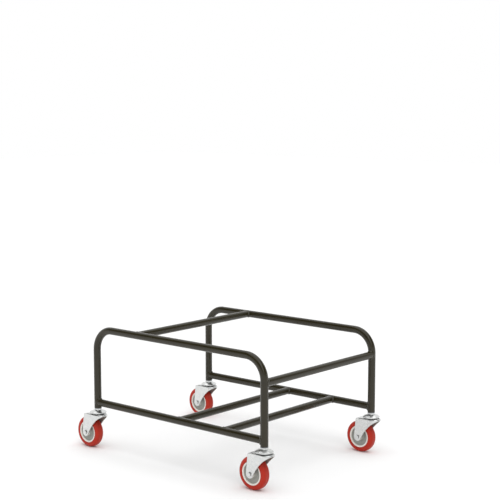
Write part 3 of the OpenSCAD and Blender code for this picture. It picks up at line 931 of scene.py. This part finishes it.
@dataclass(frozen=True)
class AxleSet:
    """Axle bolt with a hexagon head and its lock nut, along the axle from the near leg to the far one."""

    shank_r: float = 4.0
    across: float = 11.0
    leg_face: float = 21.0
    head_h: float = 3.5
    head_flat: float = 0.15
    nut_hex_h: float = 4.5
    nut_h: float = 6.5
    collar_r: float = 5.2
    end_l: float = 2.5
    pitch: float = 1.25
    thread_depth: float = 0.6
    thread_in_nut: float = 1.0
    thread_fade: float = 0.6
    thread_step: float = 0.1
    point_l: float = 0.8
    chamfer_slope: float = 1.9
    # Heights of the rings that follow the round cut at an end of a hexagon
    head_rings: tuple[float, ...] = (0.0, 0.12, 0.3, 0.5, 0.75, 1.0)
    nut_rings: tuple[float, ...] = (0.0, 0.15, 0.35, 0.6)
    # Depth below the end and loss of radius of the rings that round the collar's mouth
    mouth_depths: tuple[float, ...] = (0.7, 0.3, 0.08, 0.0)
    mouth_losses: tuple[float, ...] = (0.0, 0.12, 0.35, 0.6)
    ring_inset: float = 0.55
    ring_depth: float = 0.4
    ring_proud: float = 0.15
    ring_edges: tuple[float, ...] = (0.05, 0.05, 0.15, 0.15)
    sliver: float = 0.01
    seat: float = 0.05
    grease_and_shade_h: float = 1.5
    columns: int = 96
    sharp_deg: float = 25.0

    def bolt(self, hub: Point) -> Skin:
        """Bolt: hexagon head cut by a cone at its outer edge, plain shank and a threaded end.

        The thread is a wave of the radius that moves round by one turn in each pitch along the axle.

        Args:
            hub: middle of the axle.

        Returns:
            The bolt's skin.
        """
        face, nut_end = -self.leg_face, self.leg_face + self.nut_h
        outer, start, tip = face - self.head_h, nut_end - self.thread_in_nut, nut_end + self.end_l
        head = np.concatenate([outer + np.array(self.head_rings), [face - self.head_flat, face]])
        cone = self.across / 2 - self.head_flat + self.chamfer_slope * (head - outer)
        head_r = np.minimum(hexagon(self.across, self.columns), cone[:, None])
        thread = np.arange(start, tip + self.sliver, self.thread_step)
        share = np.linspace(0, 1, self.columns, endpoint=False)
        wave = np.abs(((thread[:, None] / self.pitch - share) % 1) * 2 - 1)
        fade = np.clip((thread - start) / self.thread_fade, 0, 1)[:, None]
        point = np.clip((tip - thread) / self.point_l, 0, 1)[:, None]
        thread_r = self.shank_r - self.point_l * (1 - point) - self.thread_depth * fade * point * wave
        shank_r = np.full((2, self.columns), self.shank_r)
        place = np.concatenate([head, [face, start - self.thread_step], thread])
        return loft(turned(np.vstack([head_r, shank_r, thread_r]), place, hub, Axis.AXLE), False)

    def nut(self, hub: Point) -> Skin:
        """Lock nut: a hexagon cut by cones at both ends, then a round collar, round a plain bore.

        Args:
            hub: middle of the axle.

        Returns:
            The nut's skin.
        """
        low, high, end = self.leg_face, self.leg_face + self.nut_hex_h, self.leg_face + self.nut_h
        rings = np.array(self.nut_rings)
        hexed = np.concatenate([low + rings, high - rings[::-1]])
        cone = self.across / 2 + self.chamfer_slope * np.minimum(hexed - low, high - hexed)
        hex_r = np.minimum(hexagon(self.across, self.columns), cone[:, None])
        mouth = end - np.array(self.mouth_depths)
        round_r = np.concatenate([[self.collar_r], self.collar_r - np.array(self.mouth_losses),
                                  [self.shank_r + self.seat] * 2])
        radius = np.vstack([hex_r, np.repeat(round_r[:, None], self.columns, 1)])
        place = np.concatenate([hexed, [high + self.sliver], mouth, [end, low]])
        return loft(turned(radius, place, hub, Axis.AXLE), True)

    def lock_ring(self, hub: Point) -> Skin:
        """Plastic lock ring in the mouth of the nut's collar: a small rounded outline, turned.

        Args:
            hub: middle of the axle.

        Returns:
            The ring's skin.
        """
        inner, outer = self.shank_r + self.seat, self.collar_r - self.ring_inset
        end = self.leg_face + self.nut_h
        low, high = end - self.ring_depth, end + self.ring_proud
        corners = [(inner, low), (outer, low), (outer, high), (inner, high)]
        return revolved(rounded_loop(corners, self.ring_edges), hub, Axis.AXLE, self.columns)

    def build(self, corner: str, hub: Point) -> None:
        """Make the pieces of the axle, with grease and painted shade on bolt and nut that fade out above the
        legs' faces.

        Args:
            corner: corner of the trolley that the axle is at.
            hub: middle of the axle.
        """
        body = f"{corner}_swivel"
        bolt = make_piece(f"{corner}_bolt", [self.bolt(hub)], Slot.ZINC, body, [f"{corner}_axle_bolt"],
                          self.sharp_deg)
        nut = make_piece(f"{corner}_lock_nut", [self.nut(hub)], Slot.ZINC, body, [f"{corner}_axle_nut"],
                         self.sharp_deg)
        for piece in (bolt, nut):
            # Painted shade at the legs' faces, drawn as near-black grease that fades out up the bolt head and
            # nut
            height = np.abs(mesh_points(piece)[:, 1] - hub[1]) - self.leg_face
            store(piece, "greased_and_shaded", np.clip(1 - height / self.grease_and_shade_h, 0, 1))
        make_piece(f"{corner}_lock_ring", [self.lock_ring(hub)], Slot.NYLON, body)


@dataclass(frozen=True)
class Caster:
    """One swivel caster under an upright of the frame."""

    corner: str
    wheel: Wheel = Wheel()
    head: SwivelHead = SwivelHead()
    axle: AxleSet = AxleSet()

    def build(self, joints: Sequence[Mapping[str, Any]]) -> None:
        """Make the caster's finer pieces on the places of its two joints.

        Args:
            joints: the frame's joints, with their places in metres.
        """
        place = {joint["name"]: np.array(joint["pos_m"]) / MM for joint in joints}
        swivel, hub = place[f"{self.corner}_swivel_turn"], place[f"{self.corner}_wheel_spin"]
        self.wheel.build(self.corner, hub)
        self.head.build(self.corner, swivel[0], swivel[1])
        self.axle.build(self.corner, hub)


@dataclass(frozen=True)
class SoftSun:
    """Wide far light that reaches the whole floor evenly, like a white ceiling with its lamps behind it."""

    name: str
    comes_from: Point
    spread_deg: float
    strength: float

    def build(self) -> None:
        """Hang the light and turn it along its direction."""
        light = bpy.data.lights.new(self.name, "SUN")
        light.angle, light.energy = radians(self.spread_deg), self.strength
        lamp = bpy.data.objects.new(self.name, light)
        lamp.rotation_euler = (-Vector(self.comes_from)).to_track_quat("-Z", "Y").to_euler()
        bpy.context.scene.collection.objects.link(lamp)


@dataclass(frozen=True)
class Studio:
    """White studio: floor, surrounding white, soft lamps and the camera. Sizes here are in metres."""

    camera_at: Point = (2.4511, -2.7670, 1.0615)
    camera_down_deg: float = 6.92
    camera_turn_deg: float = 40.77
    lens_mm: float = 90.04
    sensor_mm: float = 36.0
    floor_size: float = 30.0
    floor_colour: str = "#fafafa"
    room: float = 0.05
    room_from: float = 0.1
    room_to: float = 0.4
    backdrop_way: Point = (-0.66, 0.75, 0.0)
    backdrop_from: float = 0.2
    backdrop_to: float = 0.5
    fill: float = 0.58
    lights: tuple[SoftSun, ...] = (
        SoftSun("overhead_light", comes_from=(0.05, -0.05, 1.0), spread_deg=75.0, strength=1.42),
        SoftSun("front_right_light", comes_from=(1.0, -0.55, 0.9), spread_deg=40.0, strength=0.5),
    )

    def surroundings(self) -> None:
        """White world: plain white to the eye, a soft fill, and a studio that shows in mirrors.

        In mirrors the studio is white low down and on its backdrop, and a darker room above and in front.
        """
        world = bpy.data.worlds.new("white_surroundings")
        world.use_nodes = True
        tree = world.node_tree
        tree.nodes.clear()
        way = add(tree, "ShaderNodeTexCoord", {})
        height = add(tree, "ShaderNodeSeparateXYZ", {0: way.outputs["Generated"]})
        upper = add(tree, "ShaderNodeMapRange", {
            "Value": height.outputs["Z"], "From Min": self.room_from, "From Max": self.room_to})
        facing = add(tree, "ShaderNodeVectorMath", {0: way.outputs["Generated"], 1: self.backdrop_way},
                     operation="DOT_PRODUCT")
        front = add(tree, "ShaderNodeMapRange", {
            "Value": facing.outputs["Value"], "From Min": self.backdrop_from, "From Max": self.backdrop_to,
            "To Min": 1.0, "To Max": 0.0})
        dark = add(tree, "ShaderNodeMath", {0: upper.outputs["Result"], 1: front.outputs["Result"]},
                   operation="MULTIPLY")
        studio = add(tree, "ShaderNodeMapRange", {
            "Value": dark.outputs[0], "To Min": 1.0, "To Max": self.room})
        path = add(tree, "ShaderNodeLightPath", {})
        mirrored = add(tree, "ShaderNodeMath", {
            0: path.outputs["Is Glossy Ray"], 1: path.outputs["Is Transmission Ray"]}, operation="MAXIMUM")
        lit = add(tree, "ShaderNodeMix", {
            MIX_SHARE: mirrored.outputs[0], MIX_FLOAT_A: self.fill, MIX_FLOAT_B: studio.outputs["Result"]},
            data_type="FLOAT")
        seen = add(tree, "ShaderNodeMix", {
            MIX_SHARE: path.outputs["Is Camera Ray"], MIX_FLOAT_A: lit.outputs[MIXED_FLOAT],
            MIX_FLOAT_B: 1.0}, data_type="FLOAT")
        white = add(tree, "ShaderNodeBackground", {
            "Color": (1.0, 1.0, 1.0, 1.0), "Strength": seen.outputs[MIXED_FLOAT]})
        add(tree, "ShaderNodeOutputWorld", {"Surface": white.outputs[0]})
        bpy.context.scene.world = world

    def floor(self) -> None:
        """Pale matt floor that takes the shadow."""
        half = self.floor_size / 2
        mesh = bpy.data.meshes.new("studio_floor")
        corners = [(-half, -half, 0), (half, -half, 0), (half, half, 0), (-half, half, 0)]
        mesh.from_pydata(corners, [], [(0, 1, 2, 3)])
        material = bpy.data.materials.new("white_floor_paint")
        material.use_nodes = True
        tree = material.node_tree
        tree.nodes.clear()
        paint = add(tree, "ShaderNodeBsdfDiffuse", {"Color": linear(self.floor_colour)})
        add(tree, "ShaderNodeOutputMaterial", {"Surface": paint.outputs[0]})
        mesh.materials.append(material)
        floor = bpy.data.objects.new("studio_floor", mesh)
        bpy.context.scene.collection.objects.link(floor)

    def camera(self) -> None:
        """Camera at the photograph's place and angle."""
        data = bpy.data.cameras.new("photo_camera")
        data.sensor_fit, data.sensor_width, data.lens = "HORIZONTAL", self.sensor_mm, self.lens_mm
        camera = bpy.data.objects.new("photo_camera", data)
        camera.location = self.camera_at
        camera.rotation_euler = (radians(90 - self.camera_down_deg), 0.0, radians(self.camera_turn_deg))
        bpy.context.scene.collection.objects.link(camera)
        bpy.context.scene.camera = camera

    def build(self) -> None:
        """Set up the studio."""
        bpy.context.scene.view_settings.view_transform = "Standard"
        self.surroundings()
        self.floor()
        self.camera()
        for light in self.lights:
            light.build()


def dress_nodes(frame: Mapping[str, Any]) -> None:
    """Give every CAD node the finish of its material slot.

    Args:
        frame: the loaded frame.
    """
    for entry in frame["record"]["subparts"]:
        mesh = frame["nodes"][entry["node"]].data
        mesh.materials.clear()
        mesh.materials.append(FINISH_OF_SLOT[Slot(entry["material_slot"])].material())


def main() -> None:
    """Load the frame, dress it, add the finer pieces and set up the studio."""
    logging.basicConfig(level=logging.INFO, format="%(name)s: %(message)s")
    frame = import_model()
    dress_nodes(frame)
    TubeFrame().build()
    for corner in Corner:
        Caster(corner.value).build(frame["joints"])
    Studio().build()


if __name__ == "__main__":
    main()
